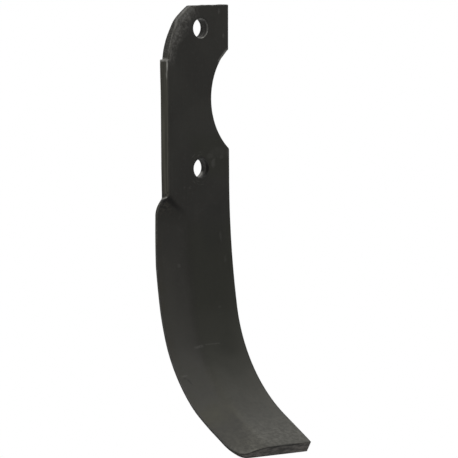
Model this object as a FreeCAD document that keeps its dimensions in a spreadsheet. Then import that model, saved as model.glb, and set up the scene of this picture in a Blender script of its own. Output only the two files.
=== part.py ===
import FreeCAD, Part
import math
import os
import Sketcher

# Rotary tiller blade: a flat steel bar with two bolt holes and a clearance notch for the
# rotor tube, bent forward below the shank, with a cutting edge pressed thin along one side.
# The origin is midway between the bolt holes on the back face. The bar hangs along Z and
# the blade bends toward -Y. All sizes are millimetres and degrees.

SIZES = {
    "bar_width": 60.0,
    "bar_thickness": 9.0,
    "hole_diameter": 15.0,
    "hole_pitch": 106.0,
    "hole_to_notch_side": 28.0,
    "top_margin": 17.2,
    "notch_radius": 50.5,
    "notch_depth": 17.6,
    "notch_drop": 1.0,
    "corner_radius": 53.0,
    "corner_inset": 1.4,
    "corner_centre_height": 25.0,
    "ledge_height": 30.0,
    "straight_below": 63.5,
    "gentle_radius": 564.5,
    "gentle_angle": 9.8,
    "main_radius": 118.0,
    "main_angle": 49.2,
    "tip_straight": 34.7,
    "end_skew": 1.55,
    "edge_spread": 9.2,
    "edge_thickness": 1.3,
    "bevel_width": 25.2,
    "lip_drop": 74.0,
    "lip_spread": 7.0,
    "lip_height": 16.0,
    "lip_radius": 22.0,
    "spread_drop": 125.0,
    "crease_angle": 40.0,
    "crease_drop": 72.5,
    "ramp_angle": 45.0,
    "tip_corner_width": 10.2,
    "tip_corner_height": 21.6,
    "tip_corner_radius": 22.0,
    "rolled_edge": 1.0,
}

# Room that a cutting tool reaches past the bar.
CLEAR = 12.0

doc = FreeCAD.newDocument("tiller_blade")
sheet = doc.addObject("Spreadsheet::Sheet", "Sizes")
for row, (name, value) in enumerate(SIZES.items(), start=1):
    sheet.set("A%d" % row, name)
    sheet.set("B%d" % row, str(value))
    sheet.setAlias("B%d" % row, name)
doc.recompute()


def vec(x, y, z=0.0):
    return FreeCAD.Vector(x, y, z)


def line(sketch, start, end):
    return sketch.addGeometry(Part.LineSegment(vec(*start), vec(*end)), False)


def arc(sketch, centre, radius, first, last):
    """Arc from the angle first to the angle last, counter-clockwise, in degrees."""
    circle = Part.Circle(vec(*centre), vec(0, 0, 1), radius)
    return sketch.addGeometry(Part.ArcOfCircle(circle, math.radians(first), math.radians(last)), False)


def fix(sketch, name, expression, *constraint):
    """Adds a named driving dimension and binds it to the sheet."""
    index = sketch.addConstraint(Sketcher.Constraint(*constraint))
    sketch.renameConstraint(index, name)
    sketch.setExpression("Constraints." + name, expression)


def join(sketch, kind, *pairs):
    """Ties end points together; each pair is (curve, point, curve, point)."""
    for pair in pairs:
        sketch.addConstraint(Sketcher.Constraint(kind, *pair))


def origin_plane(body, role):
    return [item for item in body.Origin.OriginFeatures if item.Role == role][0]


def sketch_on(body, role, name):
    sketch = body.newObject("Sketcher::SketchObject", name)
    sketch.AttachmentSupport = [(origin_plane(body, role), "")]
    sketch.MapMode = "FlatFace"
    return sketch


def cut_through(body, sketch, name):
    doc.recompute()
    before = body.Tip.Shape.Volume
    pocket = body.newObject("PartDesign::Pocket", name)
    pocket.Profile = sketch
    pocket.Type = "ThroughAll"
    pocket.Midplane = True
    doc.recompute()
    if pocket.Shape.Volume > before - 1.0:
        raise RuntimeError(name + " removes nothing")
    return pocket


S = SIZES
half = S["bar_thickness"] / 2
first_bend = S["gentle_angle"]
last_bend = S["gentle_angle"] + S["main_angle"]
TOP = "Sizes.hole_pitch / 2 + Sizes.top_margin"
FIRST = "(Sizes.gentle_angle * 1 deg)"
LAST = "((Sizes.gentle_angle + Sizes.main_angle) * 1 deg)"


def step(centre, radius, angle):
    """Point at an angle below the +Y direction on a circle in the side view."""
    turn = math.radians(angle)
    return (centre[0] + radius * math.cos(turn), centre[1] - radius * math.sin(turn))


top = S["hole_pitch"] / 2 + S["top_margin"]
gentle_centre = (-half - S["gentle_radius"], -S["straight_below"])
main_centre = step(gentle_centre, S["gentle_radius"] - S["main_radius"], first_bend)


def tip_run(start, length):
    turn = math.radians(last_bend)
    return (start[0] - length * math.sin(turn), start[1] - length * math.cos(turn))


def bowed(start, end, radius):
    """Arc of a radius between two points, bowed to the right of the way from start to end."""
    across = (end[0] - start[0], end[1] - start[1])
    chord = math.hypot(*across)
    bow = radius - math.sqrt(radius ** 2 - chord ** 2 / 4)
    middle = (
        (start[0] + end[0]) / 2 + bow * across[1] / chord,
        (start[1] + end[1]) / 2 - bow * across[0] / chord,
    )
    return Part.Arc(vec(*start), vec(*middle), vec(*end))


# The bar, drawn from the side and made as wide as the spread cutting edge.
blade = doc.addObject("PartDesign::Body", "Blade")
blade.Label = "tiller_blade"
side = sketch_on(blade, "YZ_Plane", "side_profile")
outer_end = step(main_centre, S["main_radius"] + half, last_bend)
inner_end = step(main_centre, S["main_radius"] - half, last_bend)
outer_tip = tip_run(outer_end, S["tip_straight"])
inner_tip = tip_run(inner_end, S["tip_straight"])
back_line = line(side, (0, top), (0, -S["straight_below"]))
back_gentle = arc(side, gentle_centre, S["gentle_radius"] + half, -first_bend, 0)
back_main = arc(side, main_centre, S["main_radius"] + half, -last_bend, -first_bend)
back_tip = line(side, outer_end, outer_tip)
end_line = line(side, outer_tip, inner_tip)
front_tip = line(side, inner_tip, inner_end)
front_main = arc(side, main_centre, S["main_radius"] - half, -last_bend, -first_bend)
front_gentle = arc(side, gentle_centre, S["gentle_radius"] - half, -first_bend, 0)
front_line = line(side, (-2 * half, -S["straight_below"]), (-2 * half, top))
top_line = line(side, (-2 * half, top), (0, top))
join(
    side,
    "Tangent",
    (back_line, 2, back_gentle, 2),
    (back_gentle, 1, back_main, 2),
    (back_main, 1, back_tip, 1),
    (front_tip, 2, front_main, 1),
    (front_main, 2, front_gentle, 1),
    (front_gentle, 2, front_line, 1),
)
join(
    side,
    "Coincident",
    (back_tip, 2, end_line, 1),
    (end_line, 2, front_tip, 1),
    (front_line, 2, top_line, 1),
    (top_line, 2, back_line, 1),
    (back_gentle, 3, front_gentle, 3),
    (back_main, 3, front_main, 3),
)
side.addConstraint(Sketcher.Constraint("Vertical", back_line))
side.addConstraint(Sketcher.Constraint("Vertical", front_line))
side.addConstraint(Sketcher.Constraint("Horizontal", top_line))
side.addConstraint(Sketcher.Constraint("Perpendicular", back_tip, end_line))
side.addConstraint(Sketcher.Constraint("Parallel", back_tip, front_tip))
side.addConstraint(Sketcher.Constraint("PointOnObject", back_line, 1, -2))
fix(side, "top_height", TOP, "DistanceY", -1, 1, back_line, 1, top)
fix(side, "straight_end", "Sizes.straight_below", "DistanceY", back_line, 2, -1, 1, S["straight_below"])
fix(side, "thickness", "Sizes.bar_thickness", "DistanceX", top_line, 1, top_line, 2, 2 * half)
HALF = "Sizes.bar_thickness / 2"
fix(side, "gentle_back", "Sizes.gentle_radius + " + HALF, "Radius", back_gentle, S["gentle_radius"] + half)
fix(side, "main_back", "Sizes.main_radius + " + HALF, "Radius", back_main, S["main_radius"] + half)
fix(side, "gentle_turn", "Sizes.gentle_angle * 1 deg", "Angle", back_gentle, math.radians(first_bend))
fix(side, "main_turn", "Sizes.main_angle * 1 deg", "Angle", back_main, math.radians(S["main_angle"]))
fix(side, "tip_length", "Sizes.tip_straight", "Distance", back_tip, S["tip_straight"])
side.setExpression(".AttachmentOffset.Base.z", "Sizes.hole_to_notch_side - Sizes.bar_width - Sizes.edge_spread")
bar = blade.newObject("PartDesign::Pad", "bent_bar")
bar.Profile = side
bar.setExpression("Length", "Sizes.bar_width + Sizes.edge_spread")
doc.recompute()

# Straight side of the bar, down to the lip where the pressed edge spreads outward.
LEFT = "(Sizes.bar_width - Sizes.hole_to_notch_side)"
left = S["hole_to_notch_side"] - S["bar_width"]
lip_low = (left - S["lip_spread"], -S["lip_drop"] - S["lip_height"])
spread_low = (left - S["edge_spread"], -S["spread_drop"])
outside = left - S["edge_spread"] - CLEAR
trim = sketch_on(blade, "XZ_Plane", "side_trim")
lip_arc = bowed((left, -S["lip_drop"]), lip_low, S["lip_radius"])
bar_edge = line(trim, (left, top + CLEAR), (left, -S["lip_drop"]))
lip_curve = trim.addGeometry(lip_arc, False)
spread_line = line(trim, lip_low, spread_low)
low_line = line(trim, spread_low, (outside, -S["spread_drop"]))
far_line = line(trim, (outside, -S["spread_drop"]), (outside, top + CLEAR))
high_line = line(trim, (outside, top + CLEAR), (left, top + CLEAR))
join(
    trim,
    "Coincident",
    (bar_edge, 2, lip_curve, 1),
    (lip_curve, 2, spread_line, 1),
    (spread_line, 2, low_line, 1),
    (low_line, 2, far_line, 1),
    (far_line, 2, high_line, 1),
    (high_line, 2, bar_edge, 1),
)
trim.addConstraint(Sketcher.Constraint("Vertical", bar_edge))
trim.addConstraint(Sketcher.Constraint("Vertical", far_line))
trim.addConstraint(Sketcher.Constraint("Horizontal", low_line))
trim.addConstraint(Sketcher.Constraint("Horizontal", high_line))
fix(trim, "side", LEFT, "DistanceX", bar_edge, 1, -1, 1, -left)
fix(trim, "above", TOP + " + %g" % CLEAR, "DistanceY", -1, 1, bar_edge, 1, top + CLEAR)
fix(trim, "lip_start", "Sizes.lip_drop", "DistanceY", bar_edge, 2, -1, 1, S["lip_drop"])
fix(trim, "lip_out", "Sizes.lip_spread", "DistanceX", lip_curve, 2, lip_curve, 1, S["lip_spread"])
fix(trim, "lip_down", "Sizes.lip_height", "DistanceY", lip_curve, 2, lip_curve, 1, S["lip_height"])
fix(trim, "lip_curve", "Sizes.lip_radius", "Radius", lip_curve, S["lip_radius"])
fix(trim, "spread_out", "Sizes.edge_spread", "DistanceX", spread_line, 2, bar_edge, 2, S["edge_spread"])
fix(trim, "spread_down", "Sizes.spread_drop", "DistanceY", spread_line, 2, -1, 1, S["spread_drop"])
fix(trim, "room", "%g" % CLEAR, "DistanceX", low_line, 2, low_line, 1, CLEAR)
cut_through(blade, trim, "trimmed_side")

# Sheared top corner: a large arc that stops at a small ledge on the side.
corner_centre = (left + S["corner_inset"] + S["corner_radius"], S["corner_centre_height"])
ledge_turn = math.degrees(math.asin((S["ledge_height"] - S["corner_centre_height"]) / S["corner_radius"]))
ledge_in = corner_centre[0] - S["corner_radius"] * math.cos(math.radians(ledge_turn))
corner = sketch_on(blade, "XZ_Plane", "corner_outline")
corner_curve = arc(corner, corner_centre, S["corner_radius"], 90, 180 - ledge_turn)
ledge = line(corner, (ledge_in, S["ledge_height"]), (outside, S["ledge_height"]))
corner_far = line(corner, (outside, S["ledge_height"]), (outside, top + CLEAR))
corner_high = line(corner, (outside, top + CLEAR), (corner_centre[0], top + CLEAR))
corner_top = corner_centre[1] + S["corner_radius"]
corner_right = line(corner, (corner_centre[0], top + CLEAR), (corner_centre[0], corner_top))
join(
    corner,
    "Coincident",
    (corner_curve, 2, ledge, 1),
    (ledge, 2, corner_far, 1),
    (corner_far, 2, corner_high, 1),
    (corner_high, 2, corner_right, 1),
    (corner_right, 2, corner_curve, 1),
)
corner.addConstraint(Sketcher.Constraint("Horizontal", ledge))
corner.addConstraint(Sketcher.Constraint("Vertical", corner_far))
corner.addConstraint(Sketcher.Constraint("Horizontal", corner_high))
corner.addConstraint(Sketcher.Constraint("Vertical", corner_right))
corner.addConstraint(Sketcher.Constraint("Vertical", corner_curve, 1, corner_curve, 3))
fix(corner, "curve", "Sizes.corner_radius", "Radius", corner_curve, S["corner_radius"])
fix(
    corner,
    "across",
    "Sizes.corner_radius + Sizes.corner_inset - " + LEFT,
    "DistanceX",
    -1,
    1,
    corner_curve,
    3,
    corner_centre[0],
)
fix(corner, "centre_up", "Sizes.corner_centre_height", "DistanceY", -1, 1, corner_curve, 3, corner_centre[1])
fix(corner, "ledge_up", "Sizes.ledge_height", "DistanceY", -1, 1, ledge, 1, S["ledge_height"])
fix(corner, "outside", LEFT + " + Sizes.edge_spread + %g" % CLEAR, "DistanceX", ledge, 2, -1, 1, -outside)
fix(corner, "above", TOP + " + %g" % CLEAR, "DistanceY", -1, 1, corner_high, 1, top + CLEAR)
cut_through(blade, corner, "sheared_corner")

# Clearance notch for the rotor tube.
notch = sketch_on(blade, "XZ_Plane", "notch_outline")
notch_across = S["hole_to_notch_side"] - S["notch_depth"] + S["notch_radius"]
tube_space = Part.Circle(vec(notch_across, -S["notch_drop"]), vec(0, 0, 1), S["notch_radius"])
notch_circle = notch.addGeometry(tube_space, False)
fix(notch, "radius", "Sizes.notch_radius", "Radius", notch_circle, S["notch_radius"])
fix(
    notch,
    "across",
    "Sizes.hole_to_notch_side - Sizes.notch_depth + Sizes.notch_radius",
    "DistanceX",
    -1,
    1,
    notch_circle,
    3,
    notch_across,
)
fix(notch, "drop", "Sizes.notch_drop", "DistanceY", notch_circle, 3, -1, 1, S["notch_drop"])
cut_through(blade, notch, "rotor_tube_notch")

# Two bolt holes.
holes = sketch_on(blade, "XZ_Plane", "hole_outline")
for name, side_sign in (("upper", 1), ("lower", -1)):
    height = side_sign * S["hole_pitch"] / 2
    hole = holes.addGeometry(Part.Circle(vec(0, height), vec(0, 0, 1), S["hole_diameter"] / 2), False)
    holes.addConstraint(Sketcher.Constraint("PointOnObject", hole, 3, -2))
    fix(holes, name + "_diameter", "Sizes.hole_diameter", "Diameter", hole, S["hole_diameter"])
    ends = (-1, 1, hole, 3) if side_sign > 0 else (hole, 3, -1, 1)
    fix(holes, name + "_height", "Sizes.hole_pitch / 2", "DistanceY", *ends, abs(height))
cut_through(blade, holes, "bolt_holes")

# The cut end and its rounded corner, drawn on the plane of the straight tip seen from the
# front. The end slants up a little from the notch side, where the blade is longest. The
# sketch starts at that longest point and its second axis runs up the blade.
tip = sketch_on(blade, "XY_Plane", "tip_outline")
tip.AttachmentOffset = FreeCAD.Placement(vec(0, 0, 0), FreeCAD.Rotation(vec(1, 0, 0), 90 - last_bend))
tip.setExpression(".AttachmentOffset.Rotation.Angle", "90 deg - " + LAST)
tip.setExpression(
    ".AttachmentOffset.Base.y",
    "-Sizes.bar_thickness / 2 - Sizes.gentle_radius * (1 - cos(%s)) - Sizes.main_radius * (cos(%s) - cos(%s))"
    " - Sizes.tip_straight * sin(%s)" % (FIRST, FIRST, LAST, LAST),
)
tip.setExpression(
    ".AttachmentOffset.Base.z",
    "-Sizes.straight_below - Sizes.gentle_radius * sin(%s) - Sizes.main_radius * (sin(%s) - sin(%s))"
    " - Sizes.tip_straight * cos(%s)" % (FIRST, LAST, FIRST, LAST),
)
thin = left - S["edge_spread"]
tip_skew = math.tan(math.radians(S["end_skew"]))
corner_end = (thin + S["tip_corner_width"], (S["hole_to_notch_side"] - thin - S["tip_corner_width"]) * tip_skew)
tip_beyond = (S["hole_to_notch_side"] + CLEAR, -CLEAR * tip_skew)
tip_arc = bowed((thin, S["tip_corner_height"]), corner_end, S["tip_corner_radius"])
tip_curve = tip.addGeometry(tip_arc, False)
tip_end = line(tip, corner_end, tip_beyond)
tip_down = line(tip, tip_beyond, (tip_beyond[0], -CLEAR))
tip_low = line(tip, (tip_beyond[0], -CLEAR), (thin - CLEAR, -CLEAR))
tip_far = line(tip, (thin - CLEAR, -CLEAR), (thin - CLEAR, S["tip_corner_height"]))
tip_high = line(tip, (thin - CLEAR, S["tip_corner_height"]), (thin, S["tip_corner_height"]))
join(
    tip,
    "Coincident",
    (tip_curve, 2, tip_end, 1),
    (tip_end, 2, tip_down, 1),
    (tip_down, 2, tip_low, 1),
    (tip_low, 2, tip_far, 1),
    (tip_far, 2, tip_high, 1),
    (tip_high, 2, tip_curve, 1),
)
tip.addConstraint(Sketcher.Constraint("Vertical", tip_down))
tip.addConstraint(Sketcher.Constraint("Horizontal", tip_low))
tip.addConstraint(Sketcher.Constraint("Vertical", tip_far))
tip.addConstraint(Sketcher.Constraint("Horizontal", tip_high))
SKEW = "tan(Sizes.end_skew * 1 deg)"
RISE_ACROSS = "(Sizes.bar_width + Sizes.edge_spread - Sizes.tip_corner_width)"
fix(tip, "end_rise", RISE_ACROSS + " * " + SKEW, "DistanceY", -1, 1, tip_curve, 2, corner_end[1])
fix(tip, "past_end", "%g * %s" % (CLEAR, SKEW), "DistanceY", tip_end, 2, -1, 1, -tip_beyond[1])
fix(tip, "past_side", "Sizes.hole_to_notch_side + %g" % CLEAR, "DistanceX", -1, 1, tip_end, 2, tip_beyond[0])
fix(tip, "edge", LEFT + " + Sizes.edge_spread", "DistanceX", tip_curve, 1, -1, 1, -thin)
fix(tip, "corner_up", "Sizes.tip_corner_height", "DistanceY", -1, 1, tip_curve, 1, S["tip_corner_height"])
fix(tip, "corner_in", "Sizes.tip_corner_width", "DistanceX", tip_curve, 1, tip_curve, 2, S["tip_corner_width"])
fix(tip, "curve", "Sizes.tip_corner_radius", "Radius", tip_curve, S["tip_corner_radius"])
fix(tip, "below", "%g" % CLEAR, "DistanceY", tip_low, 1, -1, 1, CLEAR)
fix(tip, "beyond", "%g" % CLEAR, "DistanceX", tip_far, 2, tip_curve, 1, CLEAR)
tip_cut = cut_through(blade, tip, "cut_end")

# The pressed edge: a wedge carried along the front face of the bend, with a slanting run-in.
press = doc.addObject("PartDesign::Body", "Press")
press.Label = "edge_wedge"
run = sketch_on(press, "YZ_Plane", "wedge_path")
run_end = step(main_centre, S["main_radius"] - half, last_bend)
run_gentle = arc(run, gentle_centre, S["gentle_radius"] - half, -first_bend, 0)
run_main = arc(run, main_centre, S["main_radius"] - half, -last_bend, -first_bend)
run_tip = line(run, run_end, tip_run(run_end, S["tip_straight"] + CLEAR))
join(run, "Tangent", (run_gentle, 1, run_main, 2), (run_main, 1, run_tip, 1))
run.addConstraint(Sketcher.Constraint("Horizontal", run_gentle, 2, run_gentle, 3))
fix(run, "front", "Sizes.bar_thickness", "DistanceX", run_gentle, 2, -1, 1, 2 * half)
fix(run, "start", "Sizes.straight_below", "DistanceY", run_gentle, 2, -1, 1, S["straight_below"])
fix(run, "gentle", "Sizes.gentle_radius - " + HALF, "Radius", run_gentle, S["gentle_radius"] - half)
fix(run, "main", "Sizes.main_radius - " + HALF, "Radius", run_main, S["main_radius"] - half)
fix(run, "gentle_turn", "Sizes.gentle_angle * 1 deg", "Angle", run_gentle, math.radians(first_bend))
fix(run, "main_turn", "Sizes.main_angle * 1 deg", "Angle", run_main, math.radians(S["main_angle"]))
fix(run, "tip_length", "Sizes.tip_straight + %g" % CLEAR, "Distance", run_tip, S["tip_straight"] + CLEAR)

slope = (S["bar_thickness"] - S["edge_thickness"]) / S["bevel_width"]
SLOPE = "((Sizes.bar_thickness - Sizes.edge_thickness) / Sizes.bevel_width)"
ridge = thin + S["bevel_width"]
# The wedge is drawn this much past the ridge and past the thin edge.
reach = 6.0
section = sketch_on(press, "XY_Plane", "wedge_section")
section.setExpression(".AttachmentOffset.Base.z", "-Sizes.straight_below")
deep = (thin - reach, -S["edge_thickness"] + reach * slope)
shallow = (ridge + reach, -S["bar_thickness"] - reach * slope)
square = (thin - reach, shallow[1])
hypotenuse = line(section, deep, shallow)
lid = line(section, shallow, square)
wall = line(section, square, deep)
join(section, "Coincident", (hypotenuse, 2, lid, 1), (lid, 2, wall, 1), (wall, 2, hypotenuse, 1))
section.addConstraint(Sketcher.Constraint("Horizontal", lid))
section.addConstraint(Sketcher.Constraint("Vertical", wall))
fix(
    section,
    "beyond",
    LEFT + " + Sizes.edge_spread + %g" % reach,
    "DistanceX",
    wall,
    1,
    -1,
    1,
    -square[0],
)
fix(
    section,
    "front",
    "Sizes.bar_thickness + %g * %s" % (reach, SLOPE),
    "DistanceY",
    lid,
    1,
    -1,
    1,
    -shallow[1],
)
across = shallow[0] - square[0]
fix(section, "width", "Sizes.bevel_width + %g" % (2 * reach), "DistanceX", lid, 2, lid, 1, across)
fix(
    section,
    "height",
    "(Sizes.bevel_width + %g) * %s" % (2 * reach, SLOPE),
    "DistanceY",
    wall,
    1,
    wall,
    2,
    deep[1] - square[1],
)
wedge = press.newObject("PartDesign::AdditivePipe", "wedge")
wedge.Profile = section
wedge.Spine = (run, ["Edge1", "Edge2", "Edge3"])
doc.recompute()

# The run-in leaves the side of the bar at the crease and drops to the bevel along a ramp.
# Seen along the crease, the wedge above the ramp line is taken away.
ramp = sketch_on(press, "YZ_Plane", "ramp_section")
ramp.AttachmentOffset = FreeCAD.Placement(vec(0, 0, 0), FreeCAD.Rotation(vec(1, 0, 0), S["crease_angle"]))
ramp.setExpression(".AttachmentOffset.Rotation.Angle", "Sizes.crease_angle * 1 deg")
ramp.setExpression(".AttachmentOffset.Base.y", "-Sizes.crease_drop")
ramp.setExpression(".AttachmentOffset.Base.z", "-" + LEFT)
front = -S["bar_thickness"]
spread = math.tan(math.radians(90 - S["ramp_angle"]))
ramp_reach = 20.0
ramp_height = 80.0
ramp_line = line(ramp, (front - ramp_reach, ramp_reach * spread), (front + ramp_reach, -ramp_reach * spread))
ramp_back = line(ramp, (front + ramp_reach, -ramp_reach * spread), (front + ramp_reach, ramp_height))
ramp_top = line(ramp, (front + ramp_reach, ramp_height), (front - ramp_reach, ramp_height))
ramp_front = line(ramp, (front - ramp_reach, ramp_height), (front - ramp_reach, ramp_reach * spread))
join(
    ramp,
    "Coincident",
    (ramp_line, 2, ramp_back, 1),
    (ramp_back, 2, ramp_top, 1),
    (ramp_top, 2, ramp_front, 1),
    (ramp_front, 2, ramp_line, 1),
)
ramp.addConstraint(Sketcher.Constraint("Vertical", ramp_back))
ramp.addConstraint(Sketcher.Constraint("Horizontal", ramp_top))
ramp.addConstraint(Sketcher.Constraint("Vertical", ramp_front))
RISE = "%g / tan(Sizes.ramp_angle * 1 deg)" % ramp_reach
ahead = ramp_reach - front
fix(ramp, "front_far", "Sizes.bar_thickness + %g" % ramp_reach, "DistanceX", ramp_line, 1, -1, 1, ahead)
fix(ramp, "width", "%g" % (2 * ramp_reach), "DistanceX", ramp_line, 1, ramp_line, 2, 2 * ramp_reach)
fix(ramp, "front_up", RISE, "DistanceY", -1, 1, ramp_line, 1, ramp_reach * spread)
fix(ramp, "back_down", RISE, "DistanceY", ramp_line, 2, -1, 1, ramp_reach * spread)
fix(ramp, "above", "%g" % ramp_height, "DistanceY", -1, 1, ramp_back, 2, ramp_height)
cut_through(press, ramp, "ramped_wedge")

pressed = blade.newObject("PartDesign::Boolean", "pressed_edge")
pressed.Type = "Cut"
pressed.setObjects([press])
doc.recompute()
if pressed.Shape.Volume > tip_cut.Shape.Volume - 1000.0:
    raise RuntimeError("the cutting edge removes nothing")


def runs_along(edge, across):
    """True for an edge of the rolled bar that keeps to one side of it."""
    box = edge.BoundBox
    on_side = abs(box.XMin - across) < 0.01 and abs(box.XMax - across) < 0.01
    return on_side and edge.Length > S["bar_thickness"] + 1.0


rolled = []
for number, edge in enumerate(pressed.Shape.Edges, start=1):
    if runs_along(edge, S["hole_to_notch_side"]) or runs_along(edge, left):
        rolled.append("Edge%d" % number)
rounding = blade.newObject("PartDesign::Fillet", "rolled_edges")
rounding.Base = (pressed, rolled)
rounding.setExpression("Radius", "Sizes.rolled_edge")
doc.recompute()
if abs(rounding.Shape.Volume - pressed.Shape.Volume) < 10.0:
    raise RuntimeError("the rolled edges are not rounded")

doc.recompute()
for item in doc.Objects:
    if "Invalid" in item.State or "Error" in item.State:
        raise RuntimeError("%s is in a bad state: %s" % (item.Label, item.State))
    if item.isDerivedFrom("Part::Feature") and not item.isDerivedFrom("Sketcher::SketchObject"):
        if item.Shape.isNull() or not item.Shape.isValid():
            raise RuntimeError(item.Label + " has no valid shape")

os.makedirs("parts", exist_ok=True)
blade.Shape.exportStep("parts/tiller_blade.step")
box = blade.Shape.BoundBox
print("solids", len(blade.Shape.Solids), "volume", round(blade.Shape.Volume), "rounded edges", len(rolled))
print("box", [round(v, 2) for v in (box.XMin, box.YMin, box.ZMin, box.XMax, box.YMax, box.ZMax)])
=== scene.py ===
import math

import bpy
import numpy as np
from mathutils import Matrix, Vector, noise
from mathutils.geometry import delaunay_2d_cdt


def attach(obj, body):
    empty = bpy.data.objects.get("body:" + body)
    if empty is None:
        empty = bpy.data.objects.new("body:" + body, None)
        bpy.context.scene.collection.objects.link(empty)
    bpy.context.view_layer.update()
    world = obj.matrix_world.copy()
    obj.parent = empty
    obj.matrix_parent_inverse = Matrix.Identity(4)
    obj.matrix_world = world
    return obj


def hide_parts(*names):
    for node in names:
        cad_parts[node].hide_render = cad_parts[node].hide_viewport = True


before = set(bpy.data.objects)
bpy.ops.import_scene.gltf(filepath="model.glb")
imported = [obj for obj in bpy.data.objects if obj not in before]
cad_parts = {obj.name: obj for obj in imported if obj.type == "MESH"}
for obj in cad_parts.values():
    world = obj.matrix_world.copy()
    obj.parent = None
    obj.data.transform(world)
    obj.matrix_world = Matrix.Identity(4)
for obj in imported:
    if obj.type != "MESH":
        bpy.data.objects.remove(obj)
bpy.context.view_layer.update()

# Sizes in millimetres, as in the solid. The blade is laid out flat, with x across the
# bar, v up along it and d into it from the front face, and is then bent.
THICK = 9.0
HALF = THICK / 2
RIGHT = 28.0
LEFT = -32.0
TOP = 70.2
STRAIGHT = 63.5
GENTLE_R, GENTLE_A = 564.5, math.radians(9.8)
MAIN_R, MAIN_A = 118.0, math.radians(49.2)
FULL_A = GENTLE_A + MAIN_A
TIP = 34.7
BEND_1 = STRAIGHT + GENTLE_R * GENTLE_A
BEND_2 = BEND_1 + MAIN_R * MAIN_A
END = BEND_2 + TIP
SKEW = math.tan(math.radians(1.55))
SPREAD, BEVEL, EDGE = 9.2, 25.2, 1.3
THIN = LEFT - SPREAD
RIDGE = THIN + BEVEL
SLOPE = (THICK - EDGE) / BEVEL
CREASE_A, CREASE_V, RAMP_SLOPE = math.radians(40), -72.5, 1.15
NOTCH_R, NOTCH_DEEP = 50.5, 17.6
NOTCH_X, NOTCH_V = RIGHT - NOTCH_DEEP + NOTCH_R, -1.0
CORNER_R, CORNER_IN = 53.0, 1.4
CORNER_X, CORNER_V = LEFT + CORNER_IN + CORNER_R, 25.0
LEDGE_V = 30.0
HOLE_R, HOLE_V = 7.5, 53.0

# The outline's turning points along the pressed side and at its rounded low corner.
LOW_ROUND_X = 10.2
LOW_ROUND_MID = (THIN + 3.4, -288.3)
LOW_ROUND_TOP = (THIN, -273)
SPREAD_LOW = (THIN, -125)
LIP_LOW = (LEFT - 6.8, -85.8)
LIP_HIGH = (LEFT - 0.6, -73.7)
LIP_END = (LEFT, -73.1)

# How finely the lines and the mesh are laid out, and how many points are measured at a time.
LINE_STEP = 0.3
FINE_STEP = 0.2
EDGE_ROUNDING = 0.4
STEP = 1.1
HOLE_STEP = 0.8
FRONT_ROWS, WALL_ROWS, BACK_ROWS = 4, 6, 2
BLOCK = 4000

# Dents in the front face: x, v, size and depth. The last is a raised spot.
DENTS = (
    (11.5, -48.8, 1.6, 0.10), (18.5, -43.1, 1.4, 0.09), (21.8, -41.8, 1.2, 0.08),
    (18.5, 65.4, 1.4, 0.09), (-11.2, 63.7, 1.5, 0.12), (-10.7, 61.4, 1.2, 0.10),
    (22.9, 47.0, 1.4, 0.10), (-18.5, -66.3, 1.1, 0.06), (-13.0, -67.3, 1.1, 0.06),
    (-23.7, -125.1, 1.5, 0.12), (18.3, -123.6, 2.0, 0.05), (-37.0, -223.0, 2.0, -0.10),
)


def fade(value, low, high):
    """0 at low, 1 at high, smooth between them; low may be the larger."""
    t = np.clip((value - low) / (high - low), 0, 1)
    return t * t * (3 - 2 * t)


def bend(x, v, d):
    """Flat coordinates to the bent blade, in metres."""
    run = -v
    parts = [run < STRAIGHT, run < BEND_1, run < BEND_2]
    gentle_turn = (run - STRAIGHT) / GENTLE_R
    main_turn = GENTLE_A + (run - BEND_1) / MAIN_R
    turn = np.select(parts, [0 * run, gentle_turn, main_turn], FULL_A)
    down_1 = STRAIGHT + GENTLE_R * math.sin(GENTLE_A)
    out_1 = GENTLE_R * (1 - math.cos(GENTLE_A))
    down_2 = down_1 + MAIN_R * (math.sin(FULL_A) - math.sin(GENTLE_A))
    out_2 = out_1 + MAIN_R * (math.cos(GENTLE_A) - math.cos(FULL_A))
    down = np.select(
        parts,
        [run, STRAIGHT + GENTLE_R * np.sin(turn), down_1 + MAIN_R * (np.sin(turn) - math.sin(GENTLE_A))],
        down_2 + (run - BEND_2) * math.cos(FULL_A),
    )
    out = np.select(
        parts,
        [0 * run, GENTLE_R * (1 - np.cos(turn)), out_1 + MAIN_R * (math.cos(GENTLE_A) - np.cos(turn))],
        out_2 + (run - BEND_2) * math.sin(FULL_A),
    )
    lift = HALF - d
    return np.stack([x, -HALF - out - lift * np.cos(turn), -down + lift * np.sin(turn)], -1) / 1000


def soft_max(a, b, k):
    """The larger of the two, rounded over about k where they cross."""
    return 0.5 * (a + b + np.sqrt((a - b) ** 2 + k * k))


def soft_min(a, b, k):
    """The smaller of the two, rounded in the same way."""
    return 0.5 * (a + b - np.sqrt((a - b) ** 2 + k * k))


def press_depth(x, v):
    """How far the pressed edge goes in below the front face."""
    # The bevel rises again by the cut end.
    rise = 1.05 * np.exp(-((x + 26.5) / 8.5) ** 2) * fade(-v, 276, 291)
    bevel = SLOPE * (RIDGE - x) - rise
    # The ramp below the crease is hollowed a little toward the lip.
    ramp = (-(x - LEFT) * math.sin(CREASE_A) - (v - CREASE_V) * math.cos(CREASE_A)) * RAMP_SLOPE
    ramp = ramp + 0.5 * np.exp(-((ramp - 2.2) / 1.6) ** 2) * fade(x, -18, -28)
    # The ridge is sharper by the ramp than farther down.
    ridge_round = 1.3 - 0.8 * fade(v, -100, -80)
    return np.maximum(soft_max(soft_min(bevel, ramp, 0.9), 0 * x, ridge_round) - 0.02, 0)


def arc_points(centre, radius, first, last):
    """Points along an arc between two angles in degrees."""
    count = max(3, int(abs(math.radians(last - first)) * radius / LINE_STEP))
    a = np.radians(np.linspace(first, last, count))
    return np.stack([centre[0] + radius * np.cos(a), centre[1] + radius * np.sin(a)], 1)


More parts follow.
